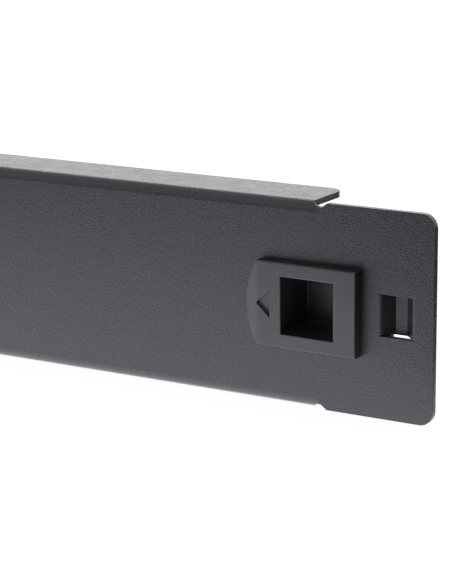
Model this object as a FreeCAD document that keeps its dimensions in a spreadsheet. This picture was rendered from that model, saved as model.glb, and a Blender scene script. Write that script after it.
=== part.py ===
import FreeCAD, Part
import math
import os
import re

import Sketcher

# A 1U blanking panel for a 19-inch rack, which fixes without tools.
#
# The panel is one folded steel sheet. At each end a moulded slider stands in a slot in its face: a front
# plate with a finger pocket, held by a collar (the bolt) that is snapped over the back of the pocket. The
# bolt's nose reaches out behind the rack's rail, and a spring between the bolt and a welded bracket drives
# it there.
#
# Frame: X along the width, Y back into the rack, Z up. The origin is the middle of the sheet's back face,
# the plane that seats on the rack's rails. Millimetres.

SIZES = {
    # folded sheet
    "panel_width": 482.6,
    "panel_height": 43.7,
    "sheet_gauge": 1.3,
    "flange_inset": 28.1,  # panel's end to the flange's end
    "flange_depth": 15.0,  # front of the face to the flange's back edge
    "flange_corner": 3.0,
    "bend_radius": 0.9,  # inside the bend
    "ear_corner": 3.0,
    "notch_depth": 1.0,
    "notch_round": 1.9,
    "notch_floor": 0.6,
    "notch_slant": 1.3,
    # lanced boss that sits in the rail's square hole
    "boss_inset": 8.3,  # panel's end to the boss's middle
    "boss_width": 7.2,
    "boss_height": 8.4,
    "boss_depth": 2.3,
    "boss_angle": 45.0,
    "boss_round": 1.2,  # outside its bends
    "boss_slit": 0.2,
    # rack rails that the latch works on
    "rail_cover": 16.3,  # how far each end of the panel lies on its rail
    "rail_room": 2.9,  # back of the face to the nose
    # front plate of the slider
    "plate_setback": 0.1,  # rail's edge to the plate's outer end
    "plate_length": 23.4,
    "plate_height": 18.1,
    "plate_bulge": 2.9,
    "plate_lift_outer": 2.5,
    "plate_lift_inner": 1.9,
    "plate_lip": 1.1,
    "plate_crown": 5.0,  # between its front and the ramp
    "plate_round": 0.25,
    "arrow_inset": -0.15,
    "arrow_length": 3.3,
    "arrow_height": 5.9,
    "arrow_depth": 0.7,
    # finger pocket
    "pocket_inset": 5.5,
    "pocket_width": 12.2,
    "pocket_height": 12.3,
    "pocket_round": 0.8,
    "pocket_wall": 1.2,
    "pocket_reach": 9.4,  # back of the face to the back of the pocket
    "barb_width": 6.0,
    "barb_height": 0.6,
    "barb_length": 1.6,
    "barb_land": 0.4,
    # sliding
    "latch_travel": 5.0,
    "slide_gap": 0.1,
    "slot_gap": 0.3,
    "latch_drop": 0.2,  # how far the latch hangs below the panel's middle, in its slot's play
    "slot_corner": 1.0,
    # bolt behind the face
    "collar_rim": 2.9,
    "collar_depth": 6.5,
    "collar_fit": 0.1,
    "collar_corner": 1.0,
    "nose_catch": 4.6,
    "nose_height": 13.0,
    "nose_tip": 1.5,
    "nose_depth": 5.6,
    # spring, bracket and the pegs that centre the spring
    "spring_wire": 0.5,
    "spring_width": 6.0,
    "spring_length": 18.4,
    "spring_turns": 9.0,
    "spring_end_gap": 0.05,
    "spring_height": 4.1,  # back of the face to the spring's axis
    "peg_width": 4.2,
    "peg_length": 3.0,
    "peg_chamfer": 0.5,
    "bracket_gauge": 1.0,
    "bracket_bend": 1.0,
    "bracket_foot": 12.0,
    "bracket_height": 8.0,
    "bracket_width": 13.0,
    "weld_width": 3.5,
    "weld_depth": 0.15,
    "weld_spacing": 7.0,
    "weld_inset": 4.5,
}

# Places that more than one piece uses, as formulas in the sizes above.
FRONT = "(-sheet_gauge)"
BACK = "0"
PANEL_END = "(panel_width / 2)"
HALF_HEIGHT = "(panel_height / 2)"
FLANGE_END = f"({PANEL_END} - flange_inset)"
RAIL_EDGE = f"({PANEL_END} - rail_cover)"
PLATE_OUTER = f"({RAIL_EDGE} - plate_setback)"
PLATE_INNER = f"({PLATE_OUTER} - plate_length)"
PLATE_BACK = f"({FRONT} - slide_gap)"
POCKET_OUTER = f"({PLATE_OUTER} - pocket_inset)"
POCKET_INNER = f"({POCKET_OUTER} - pocket_width)"
CUP_OUTER = f"({POCKET_OUTER} + pocket_wall)"
CUP_INNER = f"({POCKET_INNER} - pocket_wall)"
CUP_HALF = "(pocket_height / 2 + pocket_wall)"
COLLAR_OUTER = f"({CUP_OUTER} + collar_rim)"
COLLAR_INNER = f"({CUP_INNER} - collar_rim)"
COLLAR_BACK = "(slide_gap + collar_depth)"
BRACKET_FACE = f"({COLLAR_INNER} - spring_length)"

ALONG_X = FreeCAD.Vector(1, 0, 0)
ALONG_Y = FreeCAD.Vector(0, 1, 0)
ALONG_Z = FreeCAD.Vector(0, 0, 1)

doc = FreeCAD.newDocument("rack_blanking_panel")
sheet = doc.addObject("Spreadsheet::Sheet", "sizes")
for row, (name, size) in enumerate(SIZES.items(), start=1):
    sheet.set(f"A{row}", str(size))
    sheet.setAlias(f"A{row}", name)
doc.recompute()


def bound(formula):
    """The formula with each size's name turned into a reference to its cell."""
    return re.sub(r"[a-z_]+", lambda word: f"sizes.{word[0]}" if word[0] in SIZES else word[0], formula)


def bind(thing, **formulas):
    """Binds properties to formulas. Two underscores stand for a dot."""
    for name, formula in formulas.items():
        thing.setExpression(name.replace("__", "."), bound(formula))


scale = doc.addObject("App::FeaturePython", "scale")
scale.addProperty("App::PropertyFloat", "Reading")


def number(formula):
    """What a formula comes to with the sheet's present sizes."""
    bind(scale, Reading=formula)
    scale.recompute()
    return scale.Reading


def new_body(name, drop=None):
    body = doc.addObject("PartDesign::Body", name)
    body.Label = name
    if drop:
        bind(body, Placement__Base__z=f"-{drop}")
    return body


def new_sketch(body, name, role, offset=None):
    """A sketch on one of the body's own origin planes, moved along the plane's normal by offset."""
    sketch = body.newObject("Sketcher::SketchObject", name)
    plane = next(f for f in body.Origin.OriginFeatures if f.Role == role)
    sketch.AttachmentSupport = [(plane, "")]
    sketch.MapMode = "FlatFace"
    if offset:
        bind(sketch, AttachmentOffset__Base__z=offset)
    return sketch


def pin_point(sketch, curve, end, across, up):
    """Fixes one end or centre of a curve at formulas, measured from the sketch's origin."""
    for kind, formula in (("DistanceX", across), ("DistanceY", up)):
        constraint = sketch.addConstraint(Sketcher.Constraint(kind, -1, 1, curve, end, number(formula)))
        bind_constraint(sketch, constraint, formula)


def bind_constraint(sketch, constraint, formula):
    sketch.setExpression(f"Constraints[{constraint}]", bound(formula))


def add_outline(sketch, points, arc=None):
    """A closed outline through points given as pairs of formulas. Its sides are straight, except that the
    last one can be an arc, given as the point halfway along it and its radius."""
    places = [FreeCAD.Vector(number(across), number(up), 0) for across, up in points]
    curves = [Part.LineSegment(start, end) for start, end in zip(places, places[1:] + places[:1])]
    ends = [(1, 2)] * len(curves)
    if arc:
        halfway, radius = arc
        middle = FreeCAD.Vector(number(halfway[0]), number(halfway[1]), 0)
        curves[-1] = Part.Arc(places[-1], middle, places[0])
        if (middle - places[-1]).cross(places[0] - middle).z < 0:  # a sketch keeps its arcs anticlockwise
            curves[-1] = Part.Arc(places[0], middle, places[-1])
            ends[-1] = (2, 1)
    sides = [sketch.addGeometry(curve) for curve in curves]
    for k, side in enumerate(sides):
        following = (k + 1) % len(sides)
        sketch.addConstraint(
            Sketcher.Constraint("Coincident", side, ends[k][1], sides[following], ends[following][0]))
        pin_point(sketch, side, ends[k][0], *points[k])
    if arc:
        constraint = sketch.addConstraint(Sketcher.Constraint("Radius", sides[-1], number(radius)))
        bind_constraint(sketch, constraint, radius)


def add_rectangle(sketch, left, right, bottom, top):
    add_outline(sketch, [(left, bottom), (right, bottom), (right, top), (left, top)])


def add_circle(sketch, across, up, width):
    centre = FreeCAD.Vector(number(across), number(up), 0)
    curve = sketch.addGeometry(Part.Circle(centre, ALONG_Z, number(width) / 2))
    pin_point(sketch, curve, 3, across, up)
    constraint = sketch.addConstraint(Sketcher.Constraint("Diameter", curve, number(width)))
    bind_constraint(sketch, constraint, width)


def same(points):
    return points


def mirrored(points):
    """The same outline on the other side of the sketch's upright axis."""
    return [(f"-({across})", up) for across, up in points]


def flipped(points):
    """The same outline below the sketch's level axis."""
    return [(across, f"-({up})") for across, up in points]


def add_feature(body, kind, name, sketch, length, both_ways=False, backwards=False, seams=False):
    """A pad or a pocket of the sketch. Each must change the solid's volume the way its kind says. With
    seams, faces in one plane stay apart where the pieces of the outline meet."""
    before = body.Shape.Volume if body.Tip else 0.0
    feature = body.newObject(f"PartDesign::{kind}", name)
    feature.Profile = sketch
    feature.Midplane = both_ways
    feature.Reversed = backwards
    feature.Refine = not seams
    bind(feature, Length=length)
    doc.recompute()
    gained = feature.Shape.Volume - before
    if (gained > 0) != (kind == "Pad") or abs(gained) < 0.001:
        raise RuntimeError(f"{name} changed the volume by {gained:.3f}")
    return feature


def chosen_edges(feature, direction, wanted):
    """The names of the straight edges along direction whose middle passes a test, given the solid's box."""
    names = []
    box = feature.Shape.BoundBox
    for count, edge in enumerate(feature.Shape.Edges, start=1):
        along = edge.lastVertex().Point - edge.firstVertex().Point
        parallel = along.cross(direction).Length < 0.001 * along.Length
        straight = edge.Curve.TypeId == "Part::GeomLine"
        if straight and parallel and wanted(edge.CenterOfMass, box):
            names.append(f"Edge{count}")
    return names


def round_edges(feature, wanted):
    """The names of the full circles whose middle passes the test."""
    names = []
    for count, edge in enumerate(feature.Shape.Edges, start=1):
        closed = edge.Curve.TypeId == "Part::GeomCircle" and edge.isClosed()
        if closed and wanted(edge.CenterOfMass, feature.Shape.BoundBox):
            names.append(f"Edge{count}")
    return names


def dress(body, kind, name, edges, size, seams=False):
    """A fillet or chamfer on edges of the body's last feature."""
    if not edges:
        raise RuntimeError(f"{name} has no edge to work on")
    last = body.Tip
    feature = body.newObject(f"PartDesign::{kind}", name)
    feature.Base = (last, edges)
    feature.Refine = not seams
    bind(feature, **{"Radius" if kind == "Fillet" else "Size": size})
    doc.recompute()
    return feature


def near(a, b):
    return abs(a - b) < 0.001


def new_edges(feature, direction):
    """The straight edges along direction that the feature has made."""
    old = [edge.CenterOfMass for edge in feature.BaseFeature.Shape.Edges]
    return chosen_edges(feature, direction, lambda p, box: all(p.distanceToPoint(q) > 0.001 for q in old))


# Blanking panel: one sheet of steel, cut and folded.

def make_panel():
    body = new_body("blanking_panel")
    cut_start = "(-sheet_gauge)"
    cut_length = "(3 * sheet_gauge)"

    # The face between the notches and the two flanges, as one channel, with the bends rounded.
    inner = f"({HALF_HEIGHT} - sheet_gauge)"
    flange_back = f"({FRONT} + flange_depth)"
    section = new_sketch(body, "channel_section", "YZ_Plane")
    add_outline(section, [
        (FRONT, f"-{HALF_HEIGHT}"), (flange_back, f"-{HALF_HEIGHT}"),
        (flange_back, f"-{inner}"), (BACK, f"-{inner}"),
        (BACK, inner), (flange_back, inner),
        (flange_back, HALF_HEIGHT), (FRONT, HALF_HEIGHT),
    ])
    round_end = f"({FLANGE_END} + notch_round)"
    channel = add_feature(body, "Pad", "channel", section, f"2 * {round_end}", both_ways=True)
    inside = chosen_edges(channel, ALONG_X, lambda p, box: near(p.y, 0))
    bends = dress(body, "Fillet", "inner_bends", inside, "bend_radius")
    outside = chosen_edges(
        bends, ALONG_X, lambda p, box: near(p.y, box.YMin) and near(abs(p.z), box.ZMax))
    dress(body, "Fillet", "outer_bends", outside, "bend_radius + sheet_gauge")

    # The relief notches that part the flanges from the ears. Each rounds into the end of its bend.
    notch_top = f"({HALF_HEIGHT} - notch_depth)"
    above = f"({HALF_HEIGHT} + notch_depth)"
    flat_end = f"({HALF_HEIGHT} - sheet_gauge - bend_radius)"
    halfway = "notch_round * (1 - cos(45))"
    rounding = [
        (round_end, notch_top), (round_end, above),
        (FLANGE_END, above), (FLANGE_END, f"{notch_top} + notch_round"),
    ]
    middle = (f"{FLANGE_END} + {halfway}", f"{notch_top} + {halfway}")
    strip = [(FLANGE_END, flat_end), (round_end, flat_end), (round_end, above), (FLANGE_END, above)]
    roundings = new_sketch(body, "notch_roundings", "XZ_Plane", cut_start)
    strips = new_sketch(body, "flange_end_strips", "XZ_Plane")
    for turned in (same, mirrored, flipped, lambda points: flipped(mirrored(points))):
        add_outline(roundings, turned(rounding), arc=(turned([middle])[0], "notch_round"))
        add_outline(strips, turned(strip))
    add_feature(body, "Pocket", "notches", roundings, cut_length, backwards=True)
    add_feature(body, "Pocket", "flange_ends", strips, "flange_depth")
    corners = chosen_edges(
        body.Tip, ALONG_Z, lambda p, box: near(p.y, box.YMax) and near(abs(p.x), number(FLANGE_END)))
    dress(body, "Fillet", "flange_corners", corners, "flange_corner")

    # The inner part of the ears, up to the rail's edge.
    notch_end = f"({round_end} + notch_floor)"
    slant_end = f"({notch_end} + notch_slant)"
    ear = [
        (round_end, f"-{notch_top}"), (notch_end, f"-{notch_top}"), (slant_end, f"-{HALF_HEIGHT}"),
        (RAIL_EDGE, f"-{HALF_HEIGHT}"), (RAIL_EDGE, HALF_HEIGHT), (slant_end, HALF_HEIGHT),
        (notch_end, notch_top), (round_end, notch_top),
    ]
    outlines = new_sketch(body, "ear_outlines", "XZ_Plane")
    add_outline(outlines, ear)
    add_outline(outlines, mirrored(ear))
    add_feature(body, "Pad", "ears", outlines, "sheet_gauge")

    # The slots that the sliders move in, as long as the pocket and its travel.
    left = f"({CUP_INNER} - latch_travel - slot_gap)"
    right = f"({CUP_OUTER} + slot_gap)"
    top = f"({CUP_HALF} + slot_gap)"
    slot = [(left, f"-{top}"), (right, f"-{top}"), (right, top), (left, top)]
    outlines = new_sketch(body, "slot_outlines", "XZ_Plane", cut_start)
    add_outline(outlines, slot)
    add_outline(outlines, mirrored(slot))
    slots = add_feature(body, "Pocket", "slots", outlines, cut_length, backwards=True)
    dress(body, "Fillet", "slot_corners", new_edges(slots, ALONG_Y), "slot_corner")

    # The ends of the ears. The back of each is a face of its own: the seat that lies on the rail.
    seat = [
        (RAIL_EDGE, f"-{HALF_HEIGHT}"), (PANEL_END, f"-{HALF_HEIGHT}"),
        (PANEL_END, HALF_HEIGHT), (RAIL_EDGE, HALF_HEIGHT),
    ]
    outlines = new_sketch(body, "seat_outlines", "XZ_Plane")
    add_outline(outlines, seat)
    add_outline(outlines, mirrored(seat))
    seats = add_feature(body, "Pad", "seats", outlines, "sheet_gauge", seams=True)
    corners = chosen_edges(seats, ALONG_Y, lambda p, box: near(abs(p.x), box.XMax))
    dress(body, "Fillet", "ear_corners", corners, "ear_corner", seams=True)

    # The bosses: the sheet is sheared above and below and pressed back, with sloping side walls.
    middle = f"({PANEL_END} - boss_inset)"
    slope = "(boss_depth / tan(boss_angle))"
    half = "(boss_width / 2)"
    half_back = "(boss_width / 2 + sheet_gauge * tan(boss_angle / 2))"
    left, right = f"({middle} - {half_back})", f"({middle} + {half_back})"
    top = "(boss_height / 2 + boss_slit)"
    window = [(left, f"-{top}"), (right, f"-{top}"), (right, top), (left, top)]
    outlines = new_sketch(body, "boss_windows", "XZ_Plane", cut_start)
    add_outline(outlines, window)
    add_outline(outlines, mirrored(window))
    add_feature(body, "Pocket", "boss_shears", outlines, cut_length, backwards=True, seams=True)
    floor = f"({FRONT} + boss_depth)"
    boss = [
        (left, FRONT), (f"{middle} - {half}", FRONT), (f"{middle} - {half} + {slope}", floor),
        (f"{middle} + {half} - {slope}", floor), (f"{middle} + {half}", FRONT), (right, FRONT),
        (right, BACK), (f"{right} - {slope}", "boss_depth"),
        (f"{left} + {slope}", "boss_depth"), (left, BACK),
    ]
    sections = new_sketch(body, "boss_sections", "XY_Plane")
    add_outline(sections, boss)
    add_outline(sections, mirrored(boss))
    bosses = add_feature(body, "Pad", "bosses", sections, "boss_height", both_ways=True, seams=True)
    from_middle = {FRONT: half, "boss_depth": f"({half_back} - {slope})"}
    bends = chosen_edges(bosses, ALONG_Z, lambda p, box: any(
        near(p.y, number(depth)) and near(abs(abs(p.x) - number(middle)), number(reach))
        for depth, reach in from_middle.items()))
    dress(body, "Fillet", "boss_bends", bends, "boss_round", seams=True)
    return body


# Right latch slider: one moulding, the front plate with its finger pocket and the pocket's barbs.

def make_slider():
    body = new_body("right_latch_slider", drop="latch_drop")
    half = "(plate_height / 2)"

    # The plate: its front slopes outwards a little, and at the inner end it ramps down to the sheet.
    ramp_end = f"({PLATE_INNER} - plate_bulge)"
    section = new_sketch(body, "plate_section", "XY_Plane")
    add_outline(section, [
        (ramp_end, PLATE_BACK), (PLATE_OUTER, PLATE_BACK), (PLATE_OUTER, f"{FRONT} - plate_lift_outer"),
        (PLATE_INNER, f"{FRONT} - plate_lift_inner"), (ramp_end, f"{PLATE_BACK} - plate_lip"),
    ])
    plate = add_feature(body, "Pad", "plate", section, "plate_height", both_ways=True)
    crease = chosen_edges(
        plate, ALONG_Z, lambda p, box: near(p.x, number(PLATE_INNER)) and p.y < number(PLATE_BACK))
    dress(body, "Fillet", "plate_crown", crease, "plate_crown")

    # The inner end is trimmed to an arc through the plate's two corners and the ramp's end.
    radius = f"(({half} * {half} + plate_bulge * plate_bulge) / (2 * plate_bulge))"
    beyond = f"({ramp_end} - plate_bulge)"
    trim = new_sketch(body, "plate_end", "XZ_Plane", f"-{PLATE_BACK} + plate_lift_outer")
    above = f"({half} + plate_bulge)"
    add_outline(trim, [
        (PLATE_INNER, half), (PLATE_INNER, above), (beyond, above),
        (beyond, f"-{above}"), (PLATE_INNER, f"-{above}"), (PLATE_INNER, f"-{half}"),
    ], arc=((ramp_end, BACK), radius))
    add_feature(body, "Pocket", "plate_end_trim", trim, "3 * plate_lift_outer")
    slope = FreeCAD.Vector(number("plate_length"), number("plate_lift_inner - plate_lift_outer"), 0)
    edges = chosen_edges(body.Tip, slope, lambda p, box: p.y < box.YMax)
    edges += chosen_edges(
        body.Tip, ALONG_Z, lambda p, box: near(p.x, box.XMax) and near(p.y, box.YMin))
    dress(body, "Fillet", "plate_rounding", edges, "plate_round")

    # The finger pocket: a closed cup through the sheet, with a rounded lip on the side that is pushed.
    cup = new_sketch(body, "cup_outline", "XZ_Plane", f"-{PLATE_BACK} + slide_gap")
    add_rectangle(cup, CUP_INNER, CUP_OUTER, f"-{CUP_HALF}", CUP_HALF)
    add_feature(body, "Pad", "cup", cup, f"pocket_reach - {PLATE_BACK} + slide_gap", backwards=True)
    corners = chosen_edges(body.Tip, ALONG_Y, lambda p, box: p.y > 0)
    dress(body, "Fillet", "cup_corners", corners, "slot_corner + slot_gap")
    hollow = new_sketch(body, "pocket_outline", "XZ_Plane", f"-{FRONT} + 2 * plate_lift_outer")
    add_rectangle(hollow, POCKET_INNER, POCKET_OUTER, "-pocket_height / 2", "pocket_height / 2")
    depth = f"2 * plate_lift_outer - {FRONT} + pocket_reach - pocket_wall"
    pocket = add_feature(body, "Pocket", "finger_pocket", hollow, depth)
    lip = chosen_edges(
        pocket, ALONG_Z,
        lambda p, box: p.y < number(PLATE_BACK) and near(p.x, number(POCKET_OUTER)))
    dress(body, "Fillet", "pocket_lip", lip, "pocket_round")

    # The arrow that shows the way to push: a shallow triangle with a level floor.
    tip = f"({PLATE_INNER} + arrow_inset)"
    arrow = new_sketch(body, "arrow_outline", "XZ_Plane", f"-{FRONT} + 2 * plate_lift_outer")
    arrow_end = f"({tip} + arrow_length)"
    add_outline(arrow, [(tip, BACK), (arrow_end, "-arrow_height / 2"), (arrow_end, "arrow_height / 2")])
    add_feature(body, "Pocket", "arrow", arrow, "2 * plate_lift_outer - plate_lift_inner + arrow_depth")

    # The barbs above and below the cup that the bolt snaps behind.
    start = f"({COLLAR_BACK} + slide_gap)"
    crest = f"({CUP_HALF} + barb_height)"
    barb = [
        (start, CUP_HALF), (f"{start} + barb_length", CUP_HALF),
        (f"{start} + barb_land", crest), (start, crest),
    ]
    barbs = new_sketch(body, "barb_sections", "YZ_Plane", f"({POCKET_INNER} + {POCKET_OUTER}) / 2")
    add_outline(barbs, barb)
    add_outline(barbs, flipped(barb))
    add_feature(body, "Pad", "barbs", barbs, "barb_width", both_ways=True)
    return body


# Right latch bolt: one moulding behind the sheet, the collar round the cup with its nose and spring peg.

def make_bolt():
    body = new_body("right_latch_bolt", drop="latch_drop")
    half = f"({CUP_HALF} + collar_rim)"
    collar = new_sketch(body, "collar_outline", "XZ_Plane", "-slide_gap")
    add_rectangle(collar, COLLAR_INNER, COLLAR_OUTER, f"-{half}", half)
    collar = add_feature(body, "Pad", "collar", collar, "collar_depth", backwards=True)
    corners = chosen_edges(collar, ALONG_Y, lambda p, box: True)
    dress(body, "Fillet", "collar_corners", corners, "collar_corner")

    # The nose: flat in front, where it holds the rail, and sloped behind, so that it cams in past the rail.
    tip = f"({RAIL_EDGE} + nose_catch)"
    back = "(rail_room + nose_depth)"
    nose = new_sketch(body, "nose_section", "XY_Plane")
    add_outline(nose, [
        (f"{COLLAR_OUTER} - collar_rim / 2", "rail_room"), (tip, "rail_room"), (tip, "rail_room + nose_tip"),
        (COLLAR_OUTER, back), (f"{COLLAR_OUTER} - collar_rim / 2", back),
    ])
    add_feature(body, "Pad", "nose", nose, "nose_height", both_ways=True)

    # The window that fits over the cup, and the peg that centres the spring.
    window = new_sketch(body, "window_outline", "XZ_Plane", "-1 * collar_depth - 2 * slide_gap")
    add_rectangle(window, f"{CUP_INNER} - collar_fit", f"{CUP_OUTER} + collar_fit",
                  f"-{CUP_HALF} - collar_fit", f"{CUP_HALF} + collar_fit")
    add_feature(body, "Pocket", "window", window, "2 * collar_depth", backwards=True)
    peg = new_sketch(body, "peg_outline", "YZ_Plane", COLLAR_INNER)
    add_circle(peg, "spring_height", BACK, "peg_width")
    add_feature(body, "Pad", "peg", peg, "peg_length", backwards=True)
    rim = round_edges(body.Tip, lambda p, box: near(p.x, box.XMin))
    dress(body, "Chamfer", "peg_end", rim, "peg_chamfer")
    return body


# Right spring bracket: a steel angle with a drawn peg, spot-welded to the back of the face.

def make_bracket():
    body = new_body("right_spring_bracket")
    inside = f"({BRACKET_FACE} - bracket_gauge)"
    foot_end = f"({BRACKET_FACE} - bracket_foot)"
    section = new_sketch(body, "bracket_section", "XY_Plane")
    add_outline(section, [
        (foot_end, BACK), (BRACKET_FACE, BACK), (BRACKET_FACE, "bracket_height"), (inside, "bracket_height"),
        (inside, "bracket_gauge"), (foot_end, "bracket_gauge"),
    ])
    angle = add_feature(body, "Pad", "angle", section, "bracket_width", both_ways=True)
    inner = chosen_edges(
        angle, ALONG_Z, lambda p, box: near(p.x, number(inside)) and near(p.y, number("bracket_gauge")))
    dress(body, "Fillet", "inner_bend", inner, "bracket_bend")
    outer = chosen_edges(
        body.Tip, ALONG_Z, lambda p, box: near(p.y, box.YMin) and near(p.x, box.XMax))
    dress(body, "Fillet", "outer_bend", outer, "bracket_bend + bracket_gauge")
    peg = new_sketch(body, "peg_outline", "YZ_Plane", BRACKET_FACE)
    add_circle(peg, "spring_height", BACK, "peg_width")
    add_feature(body, "Pad", "peg", peg, "peg_length")
    rim = round_edges(body.Tip, lambda p, box: near(p.x, box.XMax))
    dress(body, "Chamfer", "peg_end", rim, "peg_chamfer")
    welds = new_sketch(body, "weld_marks", "XZ_Plane", "-1 * bracket_gauge")
    weld_place = f"({inside} - bracket_bend - weld_inset)"
    for side in ("-", ""):
        add_circle(welds, weld_place, f"{side}weld_spacing / 2", "weld_width")
    add_feature(body, "Pocket", "welds", welds, "weld_depth", backwards=True)
    return body


# Right latch spring: round wire wound on a helix, between the bracket and the bolt.

def make_spring():
    radius = "((spring_width - spring_wire) / 2)"
    start = f"({BRACKET_FACE} + spring_end_gap + spring_wire / 2)"
    spine = doc.addObject("Part::Helix", "spring_line")
    bind(spine, Radius=radius, Height="spring_length - 2 * spring_end_gap - spring_wire",
         Pitch="(spring_length - 2 * spring_end_gap - spring_wire) / spring_turns",
         Placement__Base__x=start, Placement__Base__y="spring_height")
    spine.Placement.Rotation = FreeCAD.Rotation(ALONG_Y, 90)
    wire = doc.addObject("Part::Circle", "spring_wire_section")
    bind(wire, Radius="spring_wire / 2", Placement__Base__x=start, Placement__Base__y="spring_height",
         Placement__Base__z=f"-{radius}")
    wire.Placement.Rotation = FreeCAD.Rotation(ALONG_X, 90)
    doc.recompute()
    spring = doc.addObject("Part::Sweep", "right_latch_spring")
    spring.Sections = [wire]
    spring.Spine = (spine, [f"Edge{k}" for k in range(1, len(spine.Shape.Edges) + 1)])
    spring.Solid = True
    spring.Frenet = True
    return spring


def make_left_copy(right):
    """The same piece at the left end, as its mirror image."""
    left = doc.addObject("Part::Mirroring", right.Label.replace("right_", "left_"))
    left.Source = right
    left.Normal = ALONG_X
    return left


panel = make_panel()
right_pieces = [make_slider(), make_bolt(), make_spring(), make_bracket()]
left_pieces = [make_left_copy(piece) for piece in right_pieces]
doc.recompute()

for thing in doc.Objects:
    if "Invalid" in thing.State or "Error" in thing.State:
        raise RuntimeError(f"{thing.Label} failed: {thing.State}")
pieces = [panel] + right_pieces + left_pieces
os.makedirs("parts", exist_ok=True)
for piece in pieces:
    if piece.Shape.isNull() or not piece.Shape.isValid() or len(piece.Shape.Solids) != 1:
        raise RuntimeError(f"{piece.Label} is not one sound solid")
for piece in pieces:
    box = piece.Shape.BoundBox
    print(f"{piece.Label}: {piece.Shape.Volume:.1f} mm3, x {box.XMin:.2f} to {box.XMax:.2f},",
          f"y {box.YMin:.2f} to {box.YMax:.2f}, z {box.ZMin:.2f} to {box.ZMax:.2f}")
    piece.Shape.exportStep(f"parts/{piece.Label}.step")
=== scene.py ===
import math

import bmesh
import bpy
from mathutils import Matrix, Vector


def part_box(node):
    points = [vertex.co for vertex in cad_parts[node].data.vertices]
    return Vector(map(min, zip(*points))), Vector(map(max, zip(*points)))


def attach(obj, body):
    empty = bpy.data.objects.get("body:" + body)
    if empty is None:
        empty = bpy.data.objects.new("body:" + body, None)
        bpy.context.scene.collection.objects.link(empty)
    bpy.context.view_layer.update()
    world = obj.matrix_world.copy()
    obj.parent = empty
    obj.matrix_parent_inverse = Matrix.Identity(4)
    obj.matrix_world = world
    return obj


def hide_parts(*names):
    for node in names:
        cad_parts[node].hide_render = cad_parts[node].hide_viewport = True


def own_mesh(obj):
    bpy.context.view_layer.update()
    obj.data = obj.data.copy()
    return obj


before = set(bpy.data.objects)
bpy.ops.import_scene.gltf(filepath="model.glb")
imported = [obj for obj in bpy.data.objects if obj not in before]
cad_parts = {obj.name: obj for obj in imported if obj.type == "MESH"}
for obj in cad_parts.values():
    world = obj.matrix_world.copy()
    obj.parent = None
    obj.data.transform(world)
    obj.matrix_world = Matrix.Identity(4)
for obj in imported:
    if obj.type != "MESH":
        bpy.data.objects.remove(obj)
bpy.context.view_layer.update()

scene = bpy.context.scene
scene.view_settings.view_transform = "Standard"


# Camera. It stands in front of the right end, a little to the right of it and above it, and looks
# down along the face with a long lens.
camera = bpy.data.objects.new("camera", bpy.data.cameras.new("camera"))
turn_degrees, dip_degrees, roll_degrees = 31.08, 13.87, -0.52
camera_stand = (0.4187, -0.3758, 0.1085)
camera_place = Matrix.Translation(camera_stand)
camera_turn = Matrix.Rotation(math.radians(turn_degrees), 4, "Z")
camera_dip = Matrix.Rotation(math.radians(90 - dip_degrees), 4, "X")
camera_roll = Matrix.Rotation(math.radians(roll_degrees), 4, "Z")
camera.matrix_world = camera_place @ camera_turn @ camera_dip @ camera_roll
camera.data.lens = 131.9
camera.data.sensor_width = 36
camera.data.clip_start = 0.01
scene.collection.objects.link(camera)
scene.camera = camera


# Floor. A plain white sweep that the panel stands on. Seen directly or in a reflection it also glows
# a little, so that it runs white into the background and still holds the shadow.
def link_stage(name, bm, material):
    """A finished mesh that belongs to the studio and not to the panel."""
    mesh = bpy.data.meshes.new(name)
    bm.to_mesh(mesh)
    bm.free()
    mesh.materials.append(material)
    thing = bpy.data.objects.new(name, mesh)
    scene.collection.objects.link(thing)
    return thing


def background_rays(nodes, links):
    """1 for the rays that see the background: camera, glossy and transmission rays."""
    path = nodes.new("ShaderNodeLightPath")
    seen = path.outputs["Is Camera Ray"]
    for kind in ("Is Glossy Ray", "Is Transmission Ray"):
        most = nodes.new("ShaderNodeMath")
        most.operation = "MAXIMUM"
        links.new(seen, most.inputs[0])
        links.new(path.outputs[kind], most.inputs[1])
        seen = most.outputs[0]
    return seen


floor_glow, floor_reach, floor_gap = 0.87, 8, 0.00005
sweep = bpy.data.materials.new("white_sweep")
sweep.use_nodes = True
nodes, links = sweep.node_tree.nodes, sweep.node_tree.links
paper = nodes["Principled BSDF"]
paper.inputs["Base Color"].default_value = (0.82, 0.82, 0.82, 1)
paper.inputs["Roughness"].default_value = 0.9
paper.inputs["Specular IOR Level"].default_value = 0.0
paper.inputs["Emission Color"].default_value = (1, 1, 1, 1)
glow = nodes.new("ShaderNodeMath")
glow.operation = "MULTIPLY"
glow.inputs[1].default_value = floor_glow
links.new(background_rays(nodes, links), glow.inputs[0])
links.new(glow.outputs[0], paper.inputs["Emission Strength"])

floor_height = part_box("blanking_panel")[0].z - floor_gap
bm = bmesh.new()
bmesh.ops.create_grid(bm, x_segments=1, y_segments=1, size=floor_reach)
bmesh.ops.translate(bm, verts=bm.verts, vec=(0, 0, floor_height))
link_stage("floor", bm, sweep)


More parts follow.
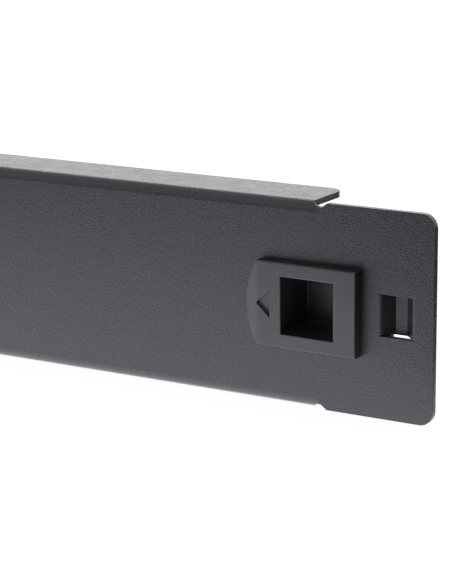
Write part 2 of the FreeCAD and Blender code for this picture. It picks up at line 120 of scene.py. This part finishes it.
# Background. A white wall all round where it is seen or reflected, greyer overhead, and a dim even
# light for the rest.
world = bpy.data.worlds.new("background")
world.use_nodes = True
scene.world = world
nodes, links = world.node_tree.nodes, world.node_tree.links
overhead, grey_from, grey_full = 0.70, 0.25, 0.5
room_at_horizon, room_overhead = 0.02, 0.30
direction = nodes.new("ShaderNodeSeparateXYZ")
links.new(nodes.new("ShaderNodeTexCoord").outputs["Generated"], direction.inputs["Vector"])
wall = nodes.new("ShaderNodeMapRange")
wall.inputs["From Min"].default_value, wall.inputs["From Max"].default_value = grey_from, grey_full
wall.inputs["To Min"].default_value, wall.inputs["To Max"].default_value = 1.0, overhead
links.new(direction.outputs["Z"], wall.inputs["Value"])
room = nodes.new("ShaderNodeMapRange")
room.inputs["To Min"].default_value = room_at_horizon
room.inputs["To Max"].default_value = room_overhead
links.new(direction.outputs["Z"], room.inputs["Value"])
strength = nodes.new("ShaderNodeMapRange")
links.new(room.outputs["Result"], strength.inputs["To Min"])
links.new(wall.outputs["Result"], strength.inputs["To Max"])
links.new(background_rays(nodes, links), strength.inputs["Value"])
nodes["Background"].inputs["Color"].default_value = (1, 1, 1, 1)
links.new(strength.outputs["Result"], nodes["Background"].inputs["Strength"])


# Lamps. A wide soft box stands low behind the panel, and the flange's top shines with it. Strips of
# light lie on the sweep along the foot of the face and behind it, and light the panel from below.
# They shine upwards only, and from beneath they let the sweep's own light through.
back_box = bpy.data.lights.new("back_box", "AREA")
back_box.shape = "RECTANGLE"
back_box.size, back_box.size_y = 1.8, 0.3
back_box.energy = 3.3
lamp = bpy.data.objects.new("back_box", back_box)
lamp_place, lamp_target = Vector((-0.45, 1.0, 0.30)), Vector((0.1, 0, 0))
aim = (lamp_target - lamp_place).to_track_quat("-Z", "Y")
lamp.matrix_world = Matrix.Translation(lamp_place) @ aim.to_matrix().to_4x4()
lamp.visible_camera = False
scene.collection.objects.link(lamp)

strip_power = 1.75
strip_light = bpy.data.materials.new("strip_light")
strip_light.use_nodes = True
nodes, links = strip_light.node_tree.nodes, strip_light.node_tree.links
nodes.remove(nodes["Principled BSDF"])
emission = nodes.new("ShaderNodeEmission")
emission.inputs["Strength"].default_value = strip_power
upper_side = nodes.new("ShaderNodeMixShader")
links.new(nodes.new("ShaderNodeNewGeometry").outputs["Backfacing"], upper_side.inputs["Fac"])
links.new(emission.outputs[0], upper_side.inputs[1])
links.new(nodes.new("ShaderNodeBsdfTransparent").outputs[0], upper_side.inputs[2])
links.new(upper_side.outputs[0], nodes["Material Output"].inputs["Surface"])


def add_card(bm, corners, height):
    """A level face through corners given as (x, y), counterclockwise from above."""
    bm.faces.new([bm.verts.new((x, y, height)) for x, y in corners])


strip_left, strip_right, strip_foot, strip_lift = -0.36, 0.25, 0.003, 0.00002
strip_front_left, strip_front_right = (strip_left, -0.060), (0.186, -0.156)
bm = bmesh.new()
front_strip = [strip_front_left, strip_front_right, (strip_right, strip_foot), (strip_left, strip_foot)]
back_near, back_far, back_right = 0.02, 0.12, 0.2
back_strip = [
    (strip_left, back_near), (back_right, back_near), (back_right, back_far), (strip_left, back_far),
]
for corners in (front_strip, back_strip):
    add_card(bm, corners, floor_height + strip_lift)
strip = link_stage("strip_light", bm, strip_light)
strip.visible_camera = False
strip.visible_shadow = False


# Flags. Black cards in front and to the right, and on the sweep past the strip of light. Only
# reflections see them, and they give the dark faces their depth.
flag_black = bpy.data.materials.new("flag_black")
flag_black.use_nodes = True
card = flag_black.node_tree.nodes["Principled BSDF"]
card.inputs["Base Color"].default_value = (0.01, 0.01, 0.01, 1)
card.inputs["Roughness"].default_value = 1.0
card.inputs["Specular IOR Level"].default_value = 0.0

reach, wall_height, wall_end, flag_gap, flag_lift = 2.0, 0.5, 0.8, 0.003, 0.0006
square_on = 0.5  # a face's normal leans at least this far towards the side that it closes
bm = bmesh.new()
bmesh.ops.create_cube(bm, size=1)
bmesh.ops.translate(bm, verts=bm.verts, vec=(0, 0.5, 0.5))
bmesh.ops.scale(bm, verts=bm.verts, vec=(2 * reach, reach + wall_end, wall_height))
bmesh.ops.translate(bm, verts=bm.verts, vec=(0, -reach, floor_height))
open_sides = [
    face for face in bm.faces
    if face.normal.x < -square_on or face.normal.y > square_on or abs(face.normal.z) > square_on
]
bmesh.ops.delete(bm, geom=open_sides, context="FACES_ONLY")
add_card(bm, [
    (-reach, -reach), (reach, -reach), (reach, wall_end), (strip_right + flag_gap, wall_end),
    (strip_right + flag_gap, strip_foot), (strip_front_right[0] + flag_gap, strip_front_right[1]),
    strip_front_left, (-reach, strip_front_left[1]),
], floor_height + flag_lift)
flags = link_stage("flags", bm, flag_black)
flags.visible_camera = False
flags.visible_diffuse = False
flags.visible_shadow = False
flags.visible_transmission = False


# Blanking panel and spring brackets. Sheet steel, cut and folded, and powder coated black all over:
# a satin coat with a fine sandy grain, thin and rougher along the cut edges, where a painted highlight
# lightens the colour.
def new_group(name, inputs, outputs):
    """An empty shader node group with float or vector inputs, as {name: default}, and its outputs."""
    group = bpy.data.node_groups.new(name, "ShaderNodeTree")
    for label, value in inputs.items():
        kind = "NodeSocketVector" if value is None else "NodeSocketFloat"
        socket = group.interface.new_socket(label, in_out="INPUT", socket_type=kind)
        if value is not None:
            socket.default_value = value
    for label, kind in outputs.items():
        group.interface.new_socket(label, in_out="OUTPUT", socket_type=kind)
    return group, group.nodes.new("NodeGroupInput"), group.nodes.new("NodeGroupOutput")


def add_math(tree, operation, *values):
    """A math node whose inputs are numbers or other nodes' outputs."""
    node = tree.nodes.new("ShaderNodeMath")
    node.operation = operation
    for socket, value in zip(node.inputs, values):
        if isinstance(value, (int, float)):
            socket.default_value = value
        else:
            tree.links.new(value, socket)
    return node.outputs[0]


def make_grain_group():
    """Sandy grain with slow ripples under it. Tone is the grain alone, for colour and gloss."""
    grit_depth, tone_lift = -0.35, 0.2
    group, given, result = new_group(
        "fine_grain",
        {"Vector": None, "Grains per Metre": 3000.0, "Ripples per Metre": 300.0, "Ripple": 0.3},
        {"Height": "NodeSocketFloat", "Tone": "NodeSocketFloat", "Cloud": "NodeSocketFloat"},
    )
    sand = group.nodes.new("ShaderNodeTexNoise")
    sand.inputs["Detail"].default_value = 3.0
    sand.inputs["Roughness"].default_value = 0.7
    ripple = group.nodes.new("ShaderNodeTexNoise")
    ripple.inputs["Detail"].default_value = 1.0
    for texture, scale in ((sand, "Grains per Metre"), (ripple, "Ripples per Metre")):
        group.links.new(given.outputs["Vector"], texture.inputs["Vector"])
        group.links.new(given.outputs[scale], texture.inputs["Scale"])
    grit = group.nodes.new("ShaderNodeTexVoronoi")
    group.links.new(given.outputs["Vector"], grit.inputs["Vector"])
    group.links.new(given.outputs["Grains per Metre"], grit.inputs["Scale"])
    grit_tops = add_math(group, "MULTIPLY", grit.outputs["Distance"], grit_depth)
    tone = add_math(group, "ADD", sand.outputs["Fac"], add_math(group, "ADD", grit_tops, tone_lift))
    slow = add_math(group, "MULTIPLY", ripple.outputs["Fac"], given.outputs["Ripple"])
    group.links.new(add_math(group, "ADD", tone, slow), result.inputs["Height"])
    group.links.new(tone, result.inputs["Tone"])
    group.links.new(ripple.outputs["Fac"], result.inputs["Cloud"])
    return group


def make_edge_group():
    """Rounded edges: the normal across them, and a mask of where they lie, broken up along its length. The
    mask carries a painted highlight and extra roughness.
    """
    mask_starts, mask_is_full = 0.97, 0.75
    group, given, result = new_group(
        "edge_rounding_and_highlight",
        {"Vector": None, "Radius": 0.0002, "Breaks per Metre": 250.0},
        {"Normal": "NodeSocketVector", "Mask": "NodeSocketFloat"},
    )
    rounding = group.nodes.new("ShaderNodeBevel")
    rounding.samples = 6
    group.links.new(given.outputs["Radius"], rounding.inputs["Radius"])
    true = group.nodes.new("ShaderNodeNewGeometry")
    turn = group.nodes.new("ShaderNodeVectorMath")
    turn.operation = "DOT_PRODUCT"
    group.links.new(rounding.outputs["Normal"], turn.inputs[0])
    group.links.new(true.outputs["True Normal"], turn.inputs[1])
    breaks = group.nodes.new("ShaderNodeTexNoise")
    group.links.new(given.outputs["Vector"], breaks.inputs["Vector"])
    group.links.new(given.outputs["Breaks per Metre"], breaks.inputs["Scale"])
    edge = group.nodes.new("ShaderNodeMapRange")
    edge.inputs["From Min"].default_value = mask_starts
    edge.inputs["From Max"].default_value = mask_is_full
    group.links.new(turn.outputs["Value"], edge.inputs["Value"])
    mask = add_math(group, "MULTIPLY", edge.outputs["Result"], breaks.outputs["Fac"])
    group.links.new(rounding.outputs["Normal"], result.inputs["Normal"])
    group.links.new(mask, result.inputs["Mask"])
    return group


def make_dust_group():
    """Specks of dust, on faces that look up."""
    speck_size, looks_up = 0.33, 0.7
    group, given, result = new_group(
        "settled_dust",
        {"Vector": None, "Specks per Metre": 1500.0, "Share": 0.2},
        {"Mask": "NodeSocketFloat"},
    )
    specks = group.nodes.new("ShaderNodeTexVoronoi")
    group.links.new(given.outputs["Vector"], specks.inputs["Vector"])
    group.links.new(given.outputs["Specks per Metre"], specks.inputs["Scale"])
    small = add_math(group, "LESS_THAN", specks.outputs["Distance"], speck_size)
    lot = group.nodes.new("ShaderNodeSeparateColor")
    group.links.new(specks.outputs["Color"], lot.inputs["Color"])
    chosen = add_math(group, "LESS_THAN", lot.outputs["Red"], given.outputs["Share"])
    facing = group.nodes.new("ShaderNodeNewGeometry")
    upright = group.nodes.new("ShaderNodeSeparateXYZ")
    group.links.new(facing.outputs["True Normal"], upright.inputs["Vector"])
    up = add_math(group, "GREATER_THAN", upright.outputs["Z"], looks_up)
    mask = add_math(group, "MULTIPLY", add_math(group, "MULTIPLY", small, chosen), up)
    group.links.new(mask, result.inputs["Mask"])
    return group


grain_group = make_grain_group()
edge_group = make_edge_group()
dust_group = make_dust_group()


def place_group(tree, group, vector, **values):
    """One of the groups, placed in a material with values of its own."""
    node = tree.nodes.new("ShaderNodeGroup")
    node.node_tree = group
    tree.links.new(vector, node.inputs["Vector"])
    for label, value in values.items():
        node.inputs[label.replace("_", " ")].default_value = value
    return node


def mix_colour(tree, factor, low, high):
    """A colour between two, each a colour or another node's output."""
    mix = tree.nodes.new("ShaderNodeMix")
    mix.data_type = "RGBA"
    tree.links.new(factor, mix.inputs["Factor"])
    for socket, colour in ((mix.inputs["A"], low), (mix.inputs["B"], high)):
        if isinstance(colour, tuple):
            socket.default_value = (*colour, 1)
        else:
            tree.links.new(colour, socket)
    return mix.outputs["Result"]


hollow_tone, top_tone = 0.35, 0.75
cloud_low, cloud_high = 0.3, 0.7
edge_roughness = 0.6
cool_tint = (0.92, 0.90, 1.0, 1)


def new_finish(name, grain, edge, dust, colours, edge_highlight_colour, dust_colour, gloss, shine, bump):
    """A fine-grained finish. colours are a pair from the grain's hollows to its tops, darker in the hollows
    as painted shade of the grain as well as its own random tone; gloss is a pair across the slow ripples.
    """
    finish = bpy.data.materials.new(name)
    finish.use_nodes = True
    tree = finish.node_tree
    shader = tree.nodes["Principled BSDF"]
    place = tree.nodes.new("ShaderNodeTexCoord").outputs["Object"]
    grains = place_group(tree, grain_group, place, **grain)
    edges = place_group(tree, edge_group, place, **edge)
    specks = place_group(tree, dust_group, place, **dust)
    # Painted shade of the grain: the colour darkens from the grain's tops into its hollows, along with the
    # grain's own random tone.
    spread = tree.nodes.new("ShaderNodeMapRange")
    spread.inputs["From Min"].default_value = hollow_tone
    spread.inputs["From Max"].default_value = top_tone
    tree.links.new(grains.outputs["Tone"], spread.inputs["Value"])
    grain_shaded = mix_colour(tree, spread.outputs["Result"], *colours)
    # Painted highlight: the rounded edges are lightened in colour where they catch the light, broken up
    # along their length; the same mask also makes them rougher.
    edge_highlighted = mix_colour(tree, edges.outputs["Mask"], grain_shaded, edge_highlight_colour)
    dusty = mix_colour(tree, specks.outputs["Mask"], edge_highlighted, dust_colour)
    tree.links.new(dusty, shader.inputs["Base Color"])
    rough = tree.nodes.new("ShaderNodeMapRange")
    rough.inputs["From Min"].default_value = cloud_low
    rough.inputs["From Max"].default_value = cloud_high
    rough.inputs["To Min"].default_value, rough.inputs["To Max"].default_value = gloss
    tree.links.new(grains.outputs["Cloud"], rough.inputs["Value"])
    edge_rough = add_math(tree, "MULTIPLY", edges.outputs["Mask"], edge_roughness)
    all_rough = add_math(tree, "MAXIMUM", rough.outputs["Result"], edge_rough)
    tree.links.new(all_rough, shader.inputs["Roughness"])
    shader.inputs["Specular IOR Level"].default_value = shine
    shader.inputs["Specular Tint"].default_value = cool_tint
    relief = tree.nodes.new("ShaderNodeBump")
    relief.inputs["Strength"].default_value, relief.inputs["Distance"].default_value = bump
    tree.links.new(grains.outputs["Height"], relief.inputs["Height"])
    tree.links.new(edges.outputs["Normal"], relief.inputs["Normal"])
    tree.links.new(relief.outputs["Normal"], shader.inputs["Normal"])
    return finish


powder_coat = new_finish(
    "black_powder_coat",
    grain={"Grains_per_Metre": 3200.0, "Ripples_per_Metre": 260.0, "Ripple": 0.12},
    edge={"Radius": 0.00015, "Breaks_per_Metre": 180.0},
    dust={"Specks_per_Metre": 900.0, "Share": 0.02},
    colours=((0.010, 0.009, 0.012), (0.022, 0.021, 0.025)),
    # painted highlight along the cut edges of the coat
    edge_highlight_colour=(0.06, 0.059, 0.068),
    dust_colour=(0.16, 0.16, 0.16),
    gloss=(0.30, 0.35),
    shine=0.8,
    bump=(0.85, 0.0001),
)

for name in ("blanking_panel", "right_spring_bracket", "left_spring_bracket"):
    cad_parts[name].data.materials.clear()
    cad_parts[name].data.materials.append(powder_coat)


# Latches. At each end a slider with its finger pocket, and a bolt snapped over the back of it, both
# moulded in black plastic from spark-eroded tools: finer and a little paler than the coat.
moulded_plastic = new_finish(
    "moulded_black_plastic",
    grain={"Grains_per_Metre": 3800.0, "Ripples_per_Metre": 160.0, "Ripple": 0.5},
    edge={"Radius": 0.0004, "Breaks_per_Metre": 300.0},
    dust={"Specks_per_Metre": 2200.0, "Share": 0.16},
    colours=((0.012, 0.011, 0.014), (0.038, 0.037, 0.042)),
    # painted highlight along the moulded edges of the plastic
    edge_highlight_colour=(0.06, 0.059, 0.066),
    dust_colour=(0.30, 0.29, 0.27),
    gloss=(0.36, 0.42),
    shine=0.88,
    bump=(0.6, 0.00006),
)
for side in ("right", "left"):
    for piece in ("slider", "bolt"):
        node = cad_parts[f"{side}_latch_{piece}"]
        node.data.materials.clear()
        node.data.materials.append(moulded_plastic)


# Latch springs. Round spring wire, coiled with closed ends, between the bracket's peg and the bolt's
# peg. Drawn bright, with fine lines along the wire.
spring_steel = bpy.data.materials.new("drawn_spring_wire")
spring_steel.use_nodes = True
tree = spring_steel.node_tree
shader = tree.nodes["Principled BSDF"]
shader.inputs["Metallic"].default_value = 1.0
wire_place = tree.nodes.new("ShaderNodeTexCoord").outputs["Object"]
drawing_lines = place_group(
    tree, grain_group, wire_place, Grains_per_Metre=9000.0, Ripples_per_Metre=700.0, Ripple=0.2)
dull_steel, bright_steel = (0.42, 0.42, 0.44), (0.62, 0.62, 0.63)
steel_colour = mix_colour(tree, drawing_lines.outputs["Cloud"], dull_steel, bright_steel)
tree.links.new(steel_colour, shader.inputs["Base Color"])
wire_gloss = tree.nodes.new("ShaderNodeMapRange")
smooth_wire, rough_wire = 0.22, 0.42
wire_gloss.inputs["To Min"].default_value = smooth_wire
wire_gloss.inputs["To Max"].default_value = rough_wire
tree.links.new(drawing_lines.outputs["Tone"], wire_gloss.inputs["Value"])
tree.links.new(wire_gloss.outputs["Result"], shader.inputs["Roughness"])

wire_width, coil_width, coil_height = 0.0005, 0.006, 0.0041
spring_gap, closed_turns, open_turns, steps_per_turn = 0.00005, 1, 7, 40
peg_length, closed_pitch, wire_sides, weld_distance = 0.003, 1.04, 12, 1e-7
for side, outwards in (("right", 1), ("left", -1)):
    low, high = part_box(f"{side}_spring_bracket")
    bracket_face = high.x - peg_length if outwards > 0 else low.x + peg_length
    collar_low, collar_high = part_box(f"{side}_latch_bolt")
    collar_face = collar_low.x + peg_length if outwards > 0 else collar_high.x - peg_length
    length = abs(collar_face - bracket_face) - 2 * spring_gap - wire_width
    start = bracket_face + outwards * (spring_gap + wire_width / 2)
    closed_rise = closed_pitch * wire_width * closed_turns
    open_rise = length - 2 * closed_rise
    bm = bmesh.new()
    section = bmesh.ops.create_circle(bm, cap_ends=True, segments=wire_sides, radius=wire_width / 2)["verts"]
    bmesh.ops.rotate(bm, verts=section, cent=(0, 0, 0), matrix=Matrix.Rotation(math.radians(90), 3, "X"))
    coil_radius = (coil_width - wire_width) / 2
    bmesh.ops.translate(bm, verts=section, vec=(start, coil_height, -coil_radius))
    moving = list({edge for v in section for edge in v.link_edges}) + section
    for turns, rise in ((closed_turns, closed_rise), (open_turns, open_rise), (closed_turns, closed_rise)):
        steps = turns * steps_per_turn
        spun = bmesh.ops.spin(
            bm, geom=moving, cent=(0, coil_height, 0), axis=(1, 0, 0),
            dvec=(outwards * rise / steps, 0, 0), angle=outwards * math.tau * turns, steps=steps)
        moving = spun["geom_last"]
    bmesh.ops.holes_fill(bm, edges=[e for e in bm.edges if e.is_boundary], sides=wire_sides)
    bmesh.ops.remove_doubles(bm, verts=bm.verts, dist=weld_distance)
    bmesh.ops.recalc_face_normals(bm, faces=bm.faces)
    for face in bm.faces:
        face.smooth = len(face.verts) == 4
    mesh = bpy.data.meshes.new(f"{side}_coil_spring")
    bm.to_mesh(mesh)
    bm.free()
    mesh.materials.append(spring_steel)
    spring = bpy.data.objects.new(f"{side}_coil_spring", mesh)
    scene.collection.objects.link(spring)
    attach(spring, "panel")
    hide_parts(f"{side}_latch_spring")
    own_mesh(spring)
